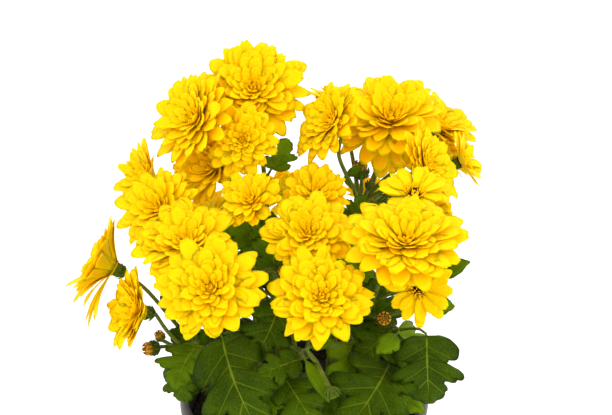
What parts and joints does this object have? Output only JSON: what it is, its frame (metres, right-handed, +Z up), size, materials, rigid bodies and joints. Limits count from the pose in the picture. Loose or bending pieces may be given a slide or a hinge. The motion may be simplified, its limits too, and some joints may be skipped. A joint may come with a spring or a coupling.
{
  "type": "pot chrysanthemum",
  "caption": "Leafy chrysanthemum with yellow double blooms at uneven heights, in a tapered plastic pot with a rolled lip and drain holes.",
  "frame": {"origin": "middle of the flat base of the pot", "axes": "+Z up along the pot's axis, -Y towards the side of the plant that the picture shows, +X to the right in the picture"},
  "size_m": [0.2028, 0.2025, 0.2896],
  "materials": {
    "dark_grey_plastic": "matt moulded plastic, scuffed and a little dusty",
    "peat_soil": "crumbly moist peat",
    "leaf_green": "soft leaf and stem with fine down",
    "petal_yellow": "satin petals, thin enough to glow"
  },
  "bodies": {
    "root": {"bloom_back_left_top": "petal_yellow", "bloom_back_low": "petal_yellow", "bloom_back_low_left": "petal_yellow", "bloom_back_low_right": "petal_yellow", "bloom_back_right": "petal_yellow", "bloom_back_right_top": "petal_yellow", "bloom_back_side_left": "petal_yellow", "bloom_back_side_right": "petal_yellow", "bloom_back_top": "petal_yellow", "bloom_behind_right": "petal_yellow", "bloom_far_left": "petal_yellow", "bloom_far_right": "petal_yellow", "bloom_front_left": "petal_yellow", "bloom_front_left_upper": "petal_yellow", "bloom_front_middle": "petal_yellow", "bloom_front_middle_upper": "petal_yellow", "bloom_front_right": "petal_yellow", "bloom_hanging_left": "petal_yellow", "bloom_inner_left": "petal_yellow", "bloom_inner_middle": "petal_yellow", "bloom_inner_right": "petal_yellow", "bloom_left": "petal_yellow", "bloom_left_middle": "petal_yellow", "bloom_low_left": "petal_yellow", "bloom_low_right": "petal_yellow", "bloom_right": "petal_yellow", "bloom_right_rear": "petal_yellow", "bloom_top_left": "petal_yellow", "bloom_top_right": "petal_yellow", "bloom_upper_left": "petal_yellow", "bloom_upper_middle": "petal_yellow", "bloom_upper_right": "petal_yellow", "bud_half_open_tip": "petal_yellow", "bud_left_small_tip": "petal_yellow", "bud_left_tip": "petal_yellow", "bud_middle_tip": "petal_yellow", "bud_right_tip": "petal_yellow", "plant_back_left": "leaf_green", "plant_back_right": "leaf_green", "plant_front": "leaf_green", "plant_left": "leaf_green", "plant_right": "leaf_green", "pot": "dark_grey_plastic", "soil": "peat_soil"}
  },
  "joints": []
}
